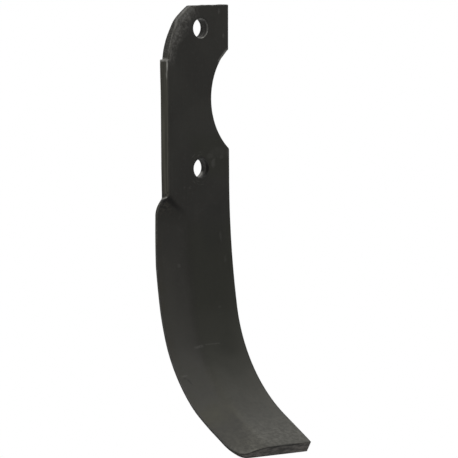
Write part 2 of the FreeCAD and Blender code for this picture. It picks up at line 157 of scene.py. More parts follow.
def bowed(start, end, radius):
    """Arc bowed to the left of the way from start to end."""
    start, end = np.array(start, float), np.array(end, float)
    chord = end - start
    length = np.hypot(*chord)
    across = np.array([-chord[1], chord[0]]) / length
    centre = (start + end) / 2 - across * math.sqrt(radius ** 2 - length ** 2 / 4)
    a0 = math.degrees(math.atan2(*(start - centre)[::-1]))
    a1 = math.degrees(math.atan2(*(end - centre)[::-1]))
    return arc_points(centre, radius, a0, a0 + (a1 - a0 + 180) % 360 - 180)


def run_through(corners):
    """Points along the straight lines that join the corners."""
    rows = []
    for a, b in zip(corners[:-1], corners[1:]):
        a, b = np.array(a, float), np.array(b, float)
        count = max(2, int(np.hypot(*(b - a)) / LINE_STEP))
        rows.append(a + (b - a) * np.linspace(0, 1, count, endpoint=False)[:, None])
    return np.concatenate(rows + [np.array([corners[-1]], float)])


def plain_outline():
    """The blade's flat outline, clockwise seen from the front."""
    ledge_x = CORNER_X - math.sqrt(CORNER_R ** 2 - (LEDGE_V - CORNER_V) ** 2)
    top_x = CORNER_X - math.sqrt(CORNER_R ** 2 - (TOP - CORNER_V) ** 2)
    ledge_turn = 180 - math.degrees(math.asin((LEDGE_V - CORNER_V) / CORNER_R))
    top_turn = 180 - math.degrees(math.asin((TOP - CORNER_V) / CORNER_R))
    half = math.sqrt(NOTCH_R ** 2 - (NOTCH_X - RIGHT) ** 2)
    turn = math.degrees(math.asin(half / NOTCH_R))
    end_in = (THIN + LOW_ROUND_X, -END + (RIGHT - THIN - LOW_ROUND_X) * SKEW)
    return np.concatenate([
        run_through([(RIGHT, NOTCH_V - half), (RIGHT, -END), end_in]),
        bowed(end_in, LOW_ROUND_MID, 9.5),
        bowed(LOW_ROUND_MID, LOW_ROUND_TOP, 32),
        run_through([LOW_ROUND_TOP, SPREAD_LOW, LIP_LOW]),
        bowed(LIP_LOW, LIP_HIGH, 22.6),
        run_through([LIP_HIGH, LIP_END, (LEFT, LEDGE_V), (ledge_x, LEDGE_V)]),
        arc_points((CORNER_X, CORNER_V), CORNER_R, ledge_turn, top_turn),
        run_through([(top_x, TOP), (RIGHT, TOP), (RIGHT - 0.3, NOTCH_V + half - 1.2)]),
        arc_points((NOTCH_X, NOTCH_V), NOTCH_R, 182.2 - turn, 180 + turn),
    ])


def outline():
    """The flat outline with its wear, swelling and burrs."""
    points = plain_outline()
    # The thin edge is worn back a little in two places, and the side swells toward the ledge.
    x, v = points.T
    worn = 0.3 * np.exp(-((v + 172) / 12) ** 2) + 0.95 * fade(-v, 234, 256) * fade(-v, 288, 272)
    points[:, 0] += worn * fade(x, -30, -36) * fade(-v, 120, 140)
    swell = 0.22 * fade(v, -70, -50) + 0.4 * fade(v, 0, 26)
    points[:, 0] -= swell * fade(x, LEFT + 1.2, LEFT) * fade(v, -71, -66)
    # The sheared arc bulges a little near its top.
    bulge = 0.6 * np.exp(-((v - 59.0) / 4.5) ** 2) * fade(-x, 8, 12)
    points[:, 0] += bulge * (x - CORNER_X) / CORNER_R
    points[:, 1] += bulge * (v - CORNER_V) / CORNER_R
    # The notch's upper corner keeps a small burr.
    burr = 0.42 * fade(v, 28, 34) * fade(-v, -37, -36.4) * fade(x, 19, 22)
    points[:, 0] += burr * fade(RIGHT - x, 0.2, 0.6)
    points[:, 1] -= burr
    # The sheared top dips a little beside a small burr.
    dip = 0.8 * np.exp(-((x - 12.3) / 1.4) ** 2)
    dip = dip + 0.25 * fade(x, 8.5, 5) + 0.2 * fade(x, 14, 17) * fade(x, 26, 22)
    points[:, 1] -= dip * fade(v, TOP - 0.3, TOP)
    return points[np.hypot(*(points - np.roll(points, 1, 0)).T) > 1e-4]


def resample(points, step, dense=None):
    """Spacing of one step round a closed line, or of a step divided by dense where given."""
    closed = np.concatenate([points, points[:1]])
    run = np.hypot(*np.diff(closed, axis=0).T)
    along = np.concatenate([[0], np.cumsum(run if dense is None else run * dense)])
    at = np.linspace(0, along[-1], int(round(along[-1] / step)), endpoint=False)
    return np.stack([np.interp(at, along, closed[:, 0]), np.interp(at, along, closed[:, 1])], 1)


def soften(points, sigma, step):
    """Rounds the corners of a closed, evenly spaced line."""
    reach = int(4 * sigma / step)
    weights = np.exp(-0.5 * (np.arange(-reach, reach + 1) * step / sigma) ** 2)
    return sum(w * np.roll(points, s, 0) for s, w in zip(range(-reach, reach + 1), weights / weights.sum()))


def into_metal(points):
    """Unit normals of a closed line that has the metal on its left."""
    along = np.roll(points, -1, 0) - np.roll(points, 1, 0)
    along /= np.linalg.norm(along, axis=1)[:, None]
    return np.stack([-along[:, 1], along[:, 0]], 1)


def loops():
    """The outer line and the two holes, each with the metal on its left."""
    fine_line = soften(resample(outline(), FINE_STEP), EDGE_ROUNDING, FINE_STEP)
    # The ledge, the lip and the cut end's right corner have closer points.
    x, v = fine_line.T
    at_ledge = fade(np.hypot(x - LEFT, v - LEDGE_V), 6, 3)
    at_lip = fade(np.hypot(x - LEFT + 1, v + 74), 7, 4)
    at_end = fade(np.hypot(x - RIGHT, v + END), 5, 3)
    outer = resample(fine_line, STEP, 1 + 1.4 * np.maximum(np.maximum(at_ledge, at_lip), at_end))
    x, y = outer.T
    if np.sum(x * np.roll(y, -1) - np.roll(x, -1) * y) < 0:
        outer = outer[::-1]
    # The punched holes are a little narrow and off centre, the upper one more.
    a = np.linspace(2 * np.pi, 0, int(2 * math.pi * HOLE_R / HOLE_STEP), endpoint=False)
    ring = np.stack([np.cos(a), np.sin(a)], 1)
    upper = ring * (HOLE_R - 0.15) + (0.25, HOLE_V - 0.15)
    lower = ring * (HOLE_R - 0.05) - (0.1, HOLE_V)
    return [outer, upper, lower]


def inside(points, loop):
    """Which points lie within a closed line: those with an odd count of crossings to one side."""
    x, y = points.T
    odd = np.zeros(len(points), bool)
    for (ax, ay), (bx, by) in zip(loop, np.roll(loop, -1, 0)):
        if ay != by:
            odd ^= ((ay > y) != (by > y)) & (x < (bx - ax) * (y - ay) / (by - ay) + ax)
    return odd


def nearest(points, line):
    """Distance from each point to the closest point of a line, a block of points at a time."""
    gaps = []
    for i in range(0, len(points), BLOCK):
        apart = points[i:i + BLOCK, None] - line[None]
        gaps.append(np.sqrt((apart ** 2).sum(2).min(1)))
    return np.concatenate(gaps)


def waves(points, size, seed, octaves=3):
    """Soft random height at each point, about -1 to 1; size may be one length or three."""
    shift = Vector((seed * 17.3, seed * 5.1, seed * 9.7))
    scaled = points / np.asarray(size, float)
    return np.array([noise.fractal(Vector(p) + shift, 0.9, 2.0, octaves) for p in scaled])


def on_arc(x, v):
    """1 on the sheared round corner, 0 elsewhere."""
    return fade(v, 31, 37) * fade(-x, 3, 9)


def rolled_over(v):
    """How deep the shears rolled the round corner over, more toward the top."""
    return 2.5 + 0.9 * fade(v, 40, 50) + 1.5 * fade(v, 52, 64)


def on_hole(x, v):
    """Which hole is near (1 upper, 2 lower), and the way round it from the right."""
    return np.where(v > 0, 1, 2), np.arctan2(v - np.sign(v) * HOLE_V, x)


def near(x, v, x0, v0, size):
    """A soft round spot."""
    return np.exp(-((x - x0) ** 2 + (v - v0) ** 2) / size ** 2)


def corner_shape(number, loop):
    """Normals into the metal, reach and depth of the front rounding, the back one, and the thickness."""
    x, v = loop.T
    spare = THICK - press_depth(x, v)
    patch = waves(np.column_stack([loop, 0 * x]), 3.5, 11 + number, 2)
    if number:
        punched = np.maximum(0, np.cos(on_hole(x, v)[1] + 1.3)) ** 2 * (0.5 if number == 1 else 0.2)
        reach, deep, back = 0.12 + punched, 0.15 + punched, 0.15 + 0 * x
    else:
        arc = on_arc(x, v)
        flank = fade(x, LEFT + 1.5, LEFT + 0.5) * fade(v, -80, -72) * (1 - arc)
        reach = 0.2 + (rolled_over(v) + 0.6) * arc * (1 + 0.3 * patch) + 0.5 * flank + 0.1 * patch
        reach = reach * (1 - 0.75 * fade(np.hypot(x - LEFT, v - LEDGE_V), 3.0, 1.4))
        deep = 0.2 + rolled_over(v) * arc * (1 + 0.15 * patch) + 1.7 * flank
        back = 0.2 + 0 * x
    reach, deep = np.minimum(reach, 0.5 * spare), np.minimum(deep, 0.42 * spare)
    back = np.minimum(back, 0.42 * spare)
    return into_metal(loop), reach, deep, back, spare


def face_net(rings, front_lines):
    """The front face's points, its inner lines first, the grid among them, and the triangles between."""
    jitter = np.random.default_rng(7)
    columns = np.arange(THIN - 1, RIGHT + 1, STEP)
    levels = np.arange(-END - 1, TOP + 1, STEP * 0.92)
    grid = np.stack(np.meshgrid(columns, levels), -1)
    grid[1::2, :, 0] += STEP / 2
    grid = grid.reshape(-1, 2) + jitter.uniform(-0.12, 0.12, (grid.size // 2, 2))
    grid = grid[inside(grid, rings[0]) & ~inside(grid, rings[1]) & ~inside(grid, rings[2])]
    gap = nearest(grid, np.concatenate(rings))
    reach_there = 0.55 * STEP + 1.0 + 4.9 * on_arc(grid[:, 0], grid[:, 1])
    grid = grid[gap > reach_there]
    flat = np.concatenate(front_lines + [grid])
    edges, start = [], 0
    for line in front_lines:
        edges += [(start + i, start + (i + 1) % len(line)) for i in range(len(line))]
        start += len(line)
    verts, _, faces, _, _, _ = delaunay_2d_cdt([Vector(p) for p in flat], edges, [], 0, 1e-5)
    if len(verts) != len(flat):
        raise RuntimeError("the face lines cross: %d and %d points" % (len(verts), len(flat)))
    tri = np.array([f for f in faces if len(f) == 3])
    mid = flat[tri].mean(1)
    tri = tri[inside(mid, front_lines[0]) & ~inside(mid, front_lines[1]) & ~inside(mid, front_lines[2])]
    cross = np.cross(flat[tri[:, 1]] - flat[tri[:, 0]], flat[tri[:, 2]] - flat[tri[:, 0]])
    tri[cross < 0] = tri[cross < 0][:, ::-1]
    return flat, grid, tri


def wall_rows(reach, deep, back, spare):
    """The wall's rows from front to back: how far in, how deep, and the share of wall."""
    rows, depth = [], THICK - spare
    for k in range(1, FRONT_ROWS + 1):
        a = math.pi / 2 * k / FRONT_ROWS
        rows.append((reach * (1 - math.sin(a)), depth + deep * (1 - math.cos(a)), k / FRONT_ROWS))
    for k in range(1, WALL_ROWS + 1):
        rows.append((0 * reach, depth + deep + (spare - deep - back) * k / (WALL_ROWS + 1), 1.0))
    for k in range(BACK_ROWS, 0, -1):
        a = math.pi / 2 * k / BACK_ROWS
        rows.append((back * (1 - math.sin(a)), THICK - back * (1 - math.cos(a)), k / BACK_ROWS))
    return rows


def blade_mesh():
    """Flat coordinates, share of wall, distance from a corner, the way into the metal, and the faces."""
    rings = loops()
    sections = [corner_shape(number, loop) for number, loop in enumerate(rings)]
    front_lines = [loop + normal * reach[:, None] for loop, (normal, reach, _, _, _) in zip(rings, sections)]
    back_lines = [loop + normal * back[:, None] for loop, (normal, _, _, back, _) in zip(rings, sections)]
    flat, grid, tri = face_net(rings, front_lines)

    # Both faces.
    count = len(flat)
    behind = np.concatenate(back_lines + [grid])
    on_face = nearest(flat, np.concatenate(rings))
    front = np.column_stack([flat, press_depth(*flat.T)])
    coords = [front, np.column_stack([behind, np.full(count, THICK)])]
    side, corner, push = [np.zeros(2 * count)], [on_face, on_face], [np.zeros((2 * count, 2))]
    faces = [tuple(t) for t in tri] + [tuple(count + i for i in t[::-1]) for t in tri]

    # The walls: a rounded front corner, the wall, and a rounded back corner.
    base, start = 2 * count, 0
    for loop, (normal, reach, deep, back, spare) in zip(rings, sections):
        n, depth = len(loop), THICK - spare
        ids = [np.arange(start, start + n)]
        for inset, d, amount in wall_rows(reach, deep, back, spare):
            coords.append(np.column_stack([loop + normal * np.asarray(inset)[:, None], d]))
            side.append(np.full(n, amount))
            corner.append(np.minimum(d - depth, THICK - d))
            push.append(normal)
            ids.append(np.arange(base, base + n))
            base += n
        ids.append(np.arange(count + start, count + start + n))
        for upper, lower in zip(ids[:-1], ids[1:]):
            faces += [(upper[(i + 1) % n], upper[i], lower[i], lower[(i + 1) % n]) for i in range(n)]
        start += n
    return [np.concatenate(part) for part in (coords, side, corner, push)] + [faces]


coords, side, corner, push, faces = blade_mesh()
x, v, d = coords.T
hole_gap = np.minimum(np.hypot(x, v - HOLE_V), np.hypot(x, v + HOLE_V)) - HOLE_R
in_hole = fade(hole_gap, 2.0, 0.5)
arc = on_arc(x, v)
sheared = np.maximum(in_hole, np.maximum(arc, fade(x, -20, 0) * fade(np.abs(v), 66, 40)))
sheared = np.maximum(sheared, fade(v, -END + 4, -END + 1))

# Slow waves of a forged bar, finer hammer marks, and crazing by the sheared corner and on the lip.
slow = waves(coords * (1, 0.6, 1), 34, 1)
fine = waves(coords, 6, 2, 4)
crazed = waves(coords, 2.4, 3, 3)
away = fade(corner, 0.3, 5) * (1 - side)
low_arc = 6.0 * fade(-v, -52, -36)
from_centre = np.hypot(x - CORNER_X, v - CORNER_V)
near_arc = fade(d, 8, 5) * fade(from_centre, CORNER_R - 13 + low_arc, CORNER_R - 4 + 0.3 * low_arc)
near_arc = near_arc * fade(v, 22, 34) * fade(x, 2, -6) * (1 - 0.45 * fade(v, 56, 66))
on_lip = near(x, v, -35, -78, 7)
crazed_there = np.maximum(near_arc * fade(corner, 0.1, 1.5), 0.5 * on_lip)
relief = (0.09 * slow + 0.035 * fine) * away + 0.07 * crazed * crazed_there * (1 - side)
for dent_x, dent_v, size, depth in DENTS:
    relief -= depth * near(x, v, dent_x, dent_v, size) * (1 - side) * (d < HALF)

# Both faces stay a little inside the solid's, and the front one drops by the cut end's right corner.
crown = 0.1 * fade(x, 22, 28) * fade(-v, END - 4, END)
middle = np.clip((d - HALF) / HALF, -1, 1)
front_in = 0.02 + np.maximum(relief, -0.1) + crown * -np.minimum(middle, 0)
back_in = -0.02 - np.maximum(relief, -0.02)
shaped = coords.copy()
shaped[:, 2] += np.where(middle < 0, front_in, back_in) * np.where(middle < 0, 1, middle)
shaped[:, 2] = np.clip(shaped[:, 2], 0.0, THICK)

# The walls: long lines along the rolled sides, torn metal where the shears and punch went through.
along = waves(coords * (0.15, 0.02, 1), 1.1, 4, 2)
torn = waves(coords * (1, 1, 0.35), 1.5, 5, 3)
rough = waves(coords, 4, 6, 3)
break_line = fade(d + 1.2 * torn, 3.2, 4.4)
inward = 0.01 + 0.05 * np.maximum(along, -0.5) * (1 - sheared)
inward = inward + sheared * (0.03 + 0.06 * torn + 0.05 * rough) + 0.12 * in_hole * break_line
# The right side stands in a little above the notch.
inward += 0.4 * fade(x, RIGHT - 1, RIGHT) * fade(v, 38, 46)
shaped[:, :2] += push * (np.maximum(inward, 0) * fade(side, 0.3, 1))[:, None]
# The top of the lip runs down toward the back face.
lip = near(x, v, LEFT - 1, -75, 7.5)
shaped[:, 1] -= (2.3 * (d / THICK) - 0.9) * lip * fade(x, LEFT + 9, LEFT + 1)
points = bend(*shaped.T)

# How far the corners are worn to bare metal.
wear = 0.16 * (1 - in_hole) * (1 - arc) * fade(-v, END - 1, END - 8)
wear *= 1 - fade(x, LEFT + 3, LEFT + 1) * fade(v, 34, 30) * np.where(v < -73, near(x, v, -35, -76, 6), 0.8)
# Bare metal and a painted highlight on the ledge's top, bare metal and a painted highlight line along the
# rounded corner of the side below it, and bare metal with a painted highlight on the lip's top.
on_side = fade(x, LEFT + 2.2, LEFT + 1.2) * (side > 0.2)
flank_depth = d - 0.8 - 0.6 * fade(v, 23, 19) - 0.15 * rough
flank_highlight = np.exp(-(flank_depth / 0.5) ** 2) * fade(v, LEDGE_V + 0.6, LEDGE_V - 0.4)
bare = on_side * fade(v, LEDGE_V - 1.8, LEDGE_V - 0.9) * fade(v, LEDGE_V + 2, LEDGE_V + 0.6)
bare = bare * (1 - fade(x, LEFT + 0.3, LEFT + 1.0) * fade(d, 3.5, 1.0))
bare = np.maximum(bare, (1.0 + 0.8 * fade(v, 21, 24)) * on_side * flank_highlight * fade(v, 13, 19))
bare = np.maximum(bare, on_side * flank_highlight * 0.08 * fade(v, -68, -60))
# Bare metal and a painted highlight where the lip's top faces up.
lip_top_highlight = 1.3 * on_side * fade(x, LEFT, LEFT - 0.4) * fade(v, -74.4, -73.8)
bare = np.maximum(bare, lip_top_highlight * fade(v, -72.4, -72.9) * fade(d, 1.7, 2.9))
# A light line where the sheared corner was rolled over: burnished metal with a painted highlight.
high = fade(v, 50, 62)
rolled = np.exp(-((d - rolled_over(v) - 0.9 * high) / (0.6 + 0.9 * high)) ** 2)
shear_line = arc * (side > 0.2) * rolled * (0.52 + 0.06 * high)
bare = np.maximum(bare, shear_line * np.clip(0.9 + 0.6 * rough, 0.4, 1.2))
# The upper hole has a light rim, partly a painted highlight, and a torn line behind it; the lower one has a
# painted highlight low on its wall, where the wall faces up.
which, turn = on_hole(x, v)
lower = np.maximum(0, np.cos(turn + 1.15))
rim_line = np.exp(-((d - 0.7) / 0.75) ** 2) * (0.56 + 0.34 * np.maximum(0, np.cos(turn + 0.7)))
rim_line = rim_line * (1 - 0.5 * fade(np.sin(turn), 0.3, 0.8) * fade(-np.sin(turn), -0.98, -0.9))
torn_line = np.exp(-((d - 4.4) / 0.7) ** 2) * 0.34 * lower ** 2
torn_line = torn_line + 0.45 * fade(-np.sin(turn), 0.86, 0.97) * fade(d, 8, 6)
torn_line = torn_line + 0.5 * fade(np.cos(turn - 1.25), 0.88, 0.98)
# A painted highlight low on the lower hole's wall, where it faces up.
patch = 1.7 * np.exp(-((d - 7.6) / 1.8) ** 2) * fade(np.cos(turn + 0.86), 0.87, 0.97)
patch = patch + np.exp(-((d - 4.2) / 0.5) ** 2) * 0.14 * np.cos(turn) ** 2
bare = np.maximum(bare, in_hole * (side > 0.2) * np.where(which == 1, rim_line + torn_line, patch))
# Dark oxide on the face round each hole.
round_hole = np.exp(-((hole_gap - 0.3) / np.where(which == 1, 1.2, 1.6)) ** 2)
oxide = in_hole * (side < 0.1) * (d < HALF) * round_hole * (0.42 + 0.5 * np.maximum(0, np.cos(turn - 2.4)))

mesh = bpy.data.meshes.new("forged_blade")
mesh.from_pydata(points.tolist(), [], [tuple(int(i) for i in p) for p in faces])
mesh.validate()
carried = {
    "side": side, "corner": corner, "wear": wear, "bare": bare,
    "crazing": np.maximum(near_arc, on_lip), "sheared": sheared, "oxide": oxide,
}
for name, values in carried.items():
    mesh.attributes.new(name, "FLOAT", "POINT").data.foreach_set("value", values.astype(np.float32))
flat_place = mesh.attributes.new("flat", "FLOAT_VECTOR", "POINT")
flat_place.data.foreach_set("vector", coords.astype(np.float32).ravel())
mesh.shade_smooth()
mesh.update()
blade = bpy.data.objects.new("forged_blade", mesh)
bpy.context.scene.collection.objects.link(blade)


class Field:
    """A value in a node tree that takes part in Python arithmetic."""

    def __init__(self, tree, socket):
        self.tree = tree
        self.socket = socket

    def math(self, operation, *others, clamp=False):
        node = self.tree.nodes.new("ShaderNodeMath")
        node.operation = operation
        node.use_clamp = clamp
        for socket, value in zip(node.inputs, (self,) + others):
            put(socket, value)
        return Field(self.tree, node.outputs[0])

    def __add__(self, other):
        return self.math("ADD", other)

    def __mul__(self, other):
        return self.math("MULTIPLY", other)

    def __sub__(self, other):
        return self.math("SUBTRACT", other)

    def __rsub__(self, other):
        return self * -1 + other

    def __pow__(self, other):
        return self.math("POWER", other)

    __radd__ = __add__
    __rmul__ = __mul__

    def over(self, other):
        """The larger of the two."""
        return self.math("MAXIMUM", other)

    def clip(self):
        """Held between 0 and 1."""
        return self.math("ADD", 0.0, clamp=True)

    def step(self, low, high):
        """0 at low, 1 at high, smooth between; low may be the larger."""
        if low > high:
            return 1 - self.step(high, low)
        node = self.tree.nodes.new("ShaderNodeMapRange")
        node.interpolation_type = "SMOOTHSTEP"
        for name, value in (("Value", self), ("From Min", low), ("From Max", high)):
            put(node.inputs[name], value)
        return Field(self.tree, node.outputs[0])


def put(socket, value):
    """Links a field to a socket, or sets the socket to a number or a colour."""
    if isinstance(value, Field):
        value.tree.links.new(value.socket, socket)
    elif isinstance(value, tuple) and len(value) == 3 and socket.type == "RGBA":
        socket.default_value = (*value, 1.0)
    else:
        socket.default_value = value


class Nodes:
    """A node tree to build in, called s below."""

    def __init__(self, tree):
        self.tree = tree
        tree.nodes.clear()

    def node(self, kind, settings=None, output=0, sockets=None):
        """One node of a kind: its settings first, then the values or links of its sockets."""
        node = self.tree.nodes.new(kind)
        for key, value in (settings or {}).items():
            setattr(node, key, value)
        for key, value in (sockets or {}).items():
            put(node.inputs[key], value)
        return Field(self.tree, node.outputs[output])

    def attribute(self, name, output=2):
        return self.node("ShaderNodeAttribute", {"attribute_name": name}, output)

    def split(self, vector):
        first = self.node("ShaderNodeSeparateXYZ", sockets={0: vector})
        return [Field(self.tree, out) for out in first.socket.node.outputs]

    def noise(self, where, scale, detail=3.0, rough=0.55, warp=0.0):
        sockets = {"Vector": where, "Scale": scale, "Detail": detail, "Roughness": rough, "Distortion": warp}
        return self.node("ShaderNodeTexNoise", sockets=sockets)

    def cracks(self, where, scale):
        """Distance from the borders of random cells."""
        settings = {"feature": "DISTANCE_TO_EDGE"}
        return self.node("ShaderNodeTexVoronoi", settings, sockets={"Vector": where, "Scale": scale})

    def stretch(self, where, scale, turn=0.0):
        sockets = {"Vector": where, "Rotation": (0, 0, turn), "Scale": scale}
        return self.node("ShaderNodeMapping", sockets=sockets)

    def mix(self, amount, a, b):
        return self.node("ShaderNodeMix", {"data_type": "RGBA"}, 2, {0: amount, 6: a, 7: b})

    def bump(self, height, strength, distance, under=None):
        sockets = {"Height": height, "Strength": strength, "Distance": distance}
        if under is not None:
            sockets["Normal"] = under
        return self.node("ShaderNodeBump", sockets=sockets)

    def surface(self, shader, kind="ShaderNodeOutputMaterial"):
        put(self.tree.nodes.new(kind).inputs[0], shader)

    def background_rays(self):
        """1 for the rays that show the white background."""
        path = self.node("ShaderNodeLightPath").socket.node
        names = ("Is Camera Ray", "Is Glossy Ray", "Is Transmission Ray")
        camera_ray, glossy_ray, through_ray = [Field(self.tree, path.outputs[name]) for name in names]
        return camera_ray.over(glossy_ray).over(through_ray)


def material(name):
    """A new material, and its node tree to build in."""
    made = bpy.data.materials.new(name)
    made.use_nodes = True
    return made, Nodes(made.node_tree)


def blob(x, v, x0, v0, wide, high):
    """A soft spot in flat coordinates."""
    across = (x - x0) * (1 / wide)
    upward = (v - v0) * (1 / high)
    return (across * across + upward * upward).step(1.0, 0.1)


def streak(x, v, start, end, wide):
    """A soft straight line in flat coordinates."""
    run = np.subtract(end, start)
    length = float(np.hypot(*run))
    ux, uv = run / length
    along = (x - start[0]) * float(ux) + (v - start[1]) * float(uv)
    off = (x - start[0]) * float(-uv) + (v - start[1]) * float(ux)
    inside_run = along.step(-1.0, 1.5) * along.step(length + 1.0, length - 1.5)
    return (off * off).step(wide * wide, 0.0) * inside_run


# Colours of the steel.
SCALE_DARK, SCALE_PALE = (0.0096, 0.0091, 0.0075), (0.0136, 0.0131, 0.0109)
SCALE_DRAWN, SCALE_MOTTLED = (0.021, 0.020, 0.018), (0.022, 0.021, 0.019)
# The paler bevel tone is partly painted light for the bevel's tilt toward the light.
SCALE_BEVEL_LIT, SCALE_OLIVE = (0.022, 0.0212, 0.019), (0.0100, 0.0106, 0.0066)
SCALE_BLACK = (0.0040, 0.0042, 0.0034)
# Colours of the rubbed steel, also used for the painted highlights on the lower blade.
RUBBED_AND_SHEEN_BEVEL, RUBBED_AND_SHEEN_FLAT = (0.099, 0.0955, 0.080), (0.100, 0.097, 0.085)
RUBBED_AND_SHEEN_OLIVE = (0.1005, 0.0965, 0.064)
CRAZED = (0.064, 0.062, 0.057)
PIT_DARK, PIT_PALE = (0.003, 0.003, 0.0025), (0.021, 0.0195, 0.0155)
BROWN = (0.0185, 0.0165, 0.0105)
WALL_DARK, WALL_PALE = (0.019, 0.018, 0.0137), (0.044, 0.042, 0.0320)
TORN_DARK, TORN_PALE = (0.012, 0.0115, 0.0095), (0.045, 0.043, 0.037)
END_DARK, END_PALE = (0.012, 0.0115, 0.0100), (0.078, 0.072, 0.065)
# Near black for the oxide round the holes and for the darker edge lines with their painted shadow.
OXIDE_AND_SHADOW = (0.005, 0.005, 0.0043)
TEAR = (0.004, 0.004, 0.003)
# Near black for the painted shade within the holes.
BORE_SHADE = (0.004, 0.0035, 0.0025)
# Near black for the painted shade in the crease and just below the lip's top.
PAINTED_CREASE_SHADE = (0.004, 0.0038, 0.0035)
NICK = (0.006, 0.0056, 0.0045)
# Pale tone of the bright marks, also used for the painted highlight along the notch.
MARK_AND_HIGHLIGHT = (0.085, 0.083, 0.078)
# Pale steel for bare metal, and for the painted highlights on the ledge, lip, rolled corner and hole walls.
BARE_METAL_AND_HIGHLIGHT = (0.22, 0.215, 0.20)

# Broad paler and darker places along the blade: x, v, half width, half height and amount.
BROAD_PLACES = (
    (-32.0, -222.0, 16.0, 28.0, -0.045), (-9.0, -220.0, 15.0, 20.0, 0.04), (14.0, -190.0, 14.0, 14.0, -0.03),
    (-23.0, -186.0, 7.0, 12.0, -0.012), (8.0, -194.0, 14.0, 8.0, -0.02), (8.0, -256.0, 24.0, 15.0, -0.045),
    (-37.0, -145.0, 11.0, 38.0, 0.034), (-29.0, -122.0, 9.0, 16.0, 0.022),
)
# Small bright marks, given the same way.
MARKS = (
    (20.0, -45.3, 2.8, 2.6, 0.12), (9.0, -44.0, 3.6, 2.6, 0.10), (26.6, -42.0, 1.5, 5.0, 0.17),
    (18.5, 65.4, 1.2, 3.0, 0.22), (-11.2, 63.0, 1.0, 2.6, 0.28), (-10.0, 60.6, 1.0, 1.4, 0.25),
    (22.9, 46.6, 1.0, 2.6, 0.20), (-17.2, -66.6, 1.6, 1.1, 0.12), (-11.5, -67.3, 1.8, 1.1, 0.12),
    (-23.5, -125.6, 2.2, 2.0, 0.13), (17.8, -105.6, 1.8, 5.0, 0.10), (20.3, -123.8, 1.6, 3.5, 0.07),
    (10.5, -159.8, 1.6, 1.3, 0.08),
)


class Places:
    """What the mesh carries at each point, and the patterns that several finishes share."""

    def __init__(self, s):
        self.flat = s.attribute("flat", 1)
        self.x, self.v, self.d = s.split(self.flat)
        self.side, self.corner = s.attribute("side"), s.attribute("corner")
        self.face = 1 - self.side
        self.wear, self.bare, self.oxide = s.attribute("wear"), s.attribute("bare"), s.attribute("oxide")
        self.crazing, self.sheared = s.attribute("crazing"), s.attribute("sheared")
        self.cloud = s.noise(self.flat, 0.085, 5, 0.6)
        self.mottle = s.noise(self.flat, 0.33, 4, 0.6, 0.6)
        self.grain = s.noise(self.flat, 1.1, 4, 0.65)
        self.rub = s.noise(s.stretch(self.flat, (0.12, 1.0, 1.0), 0.45), 0.9, 4, 0.65)
        self.crack = s.cracks(self.flat, 0.42).step(0.0, 0.22)
        self.flat_side = self.x.step(-20, -9)


def forging_scale(s, at):
    """The bar's dark scale, paler on the bevel, partly as painted light for the bevel's tilt toward the
    light, olive beside it and blacker below the lower hole.
    """
    x, v = at.x, at.v
    broad = s.noise(at.flat, 0.020, 3)
    drawn = s.noise(s.stretch(at.flat, (1.0, 0.05, 1.0)), 0.55, 3)
    scale = s.mix(broad.step(0.36, 0.64), SCALE_DARK, SCALE_PALE)
    scale = s.mix(drawn.step(0.42, 0.75) * 0.12, scale, SCALE_DRAWN)
    scale = s.mix(at.mottle.step(0.50, 0.78) * 0.4, scale, SCALE_MOTTLED)
    # The paler bevel is partly painted light, for the bevel's tilt toward the light.
    bevel = x.step(-12, -22) * v.step(-84, -100) * v.step(-255, -195) * at.face
    scale = s.mix(bevel * (v.step(-110, -170) * 0.22 + 0.33), scale, SCALE_BEVEL_LIT)
    low_flat = x.step(-20, -8) * v.step(-84, -110) * at.face
    by_hole = x.step(-14, -4) * v.step(-24, -34) * v.step(-64, -54) * at.face
    scale = s.mix(low_flat * 0.6 + by_hole * 0.45, scale, SCALE_OLIVE)
    black = x.step(-6, 6) * x.step(26, 17) * v.step(-76, -86) * v.step(-124, -108)
    return s.mix(black * 0.37, scale, SCALE_BLACK)


def rubbed_and_ridge_highlight(s, at):
    """How far the lower blade is rubbed paler, more toward the tip, with a painted highlight along the
    bevel's ridge.
    """
    x, v, flat_side = at.x, at.v, at.flat_side
    bright_rub = v.step(-258, -288) * at.rub.step(0.42, 0.66) * at.mottle.step(0.3, 0.6) * x.step(-34, -18)
    tip = v.step(-170, -290) * (0.22 + flat_side * 0.23 + at.cloud.step(0.35, 0.65) * 0.1)
    tip = tip + v.step(-120, -180) * v.step(-230, -195) * (x.step(-12, -28) * 0.055 + x.step(14, 26) * 0.035)
    by_bend = v.step(-150, -172) * v.step(-215, -190) * flat_side * 0.035
    tip = tip + by_bend + x.step(0, 26) * v.step(-195, -225) * v.step(-270, -250) * 0.06
    for *place, amount in BROAD_PLACES:
        tip = tip + blob(x, v, *place) * amount
    speckle = s.noise(at.flat, 0.30, 3, 0.6).step(0.36, 0.64) - 0.45
    speckle = speckle * (v.step(-200, -275) * 0.09 + v.step(-258, -282) * 0.17) * (0.5 + flat_side * 0.5)
    # A painted highlight along the bevel's ridge.
    ridge_highlight = streak(x, v, (-14.5, -232), (-13.0, -288), 3.2) * v.step(-232, -270) * 0.11
    # A rubbed patch by the cut end, partly a painted highlight where the end swells up.
    bright = blob(x + (at.mottle - 0.5) * 6, v + (at.grain - 0.5) * 8, -9.5, -281.0, 9.0, 8.0)
    bright = bright * 0.13 * at.rub.step(0.36, 0.6)
    worn_end = v.step(-276, -287) * x.step(-12, -24) * 0.19
    worn_end = worn_end + at.corner.step(3.5, 1.0) * v.step(-284, -288) * x.step(-14, -20) * 0.08
    rubbed_and_highlight = tip + bright_rub * 0.3 + bright + speckle + ridge_highlight + worn_end * (0.2 + at.mottle.step(0.38, 0.6))
    return (rubbed_and_highlight * at.face).clip()


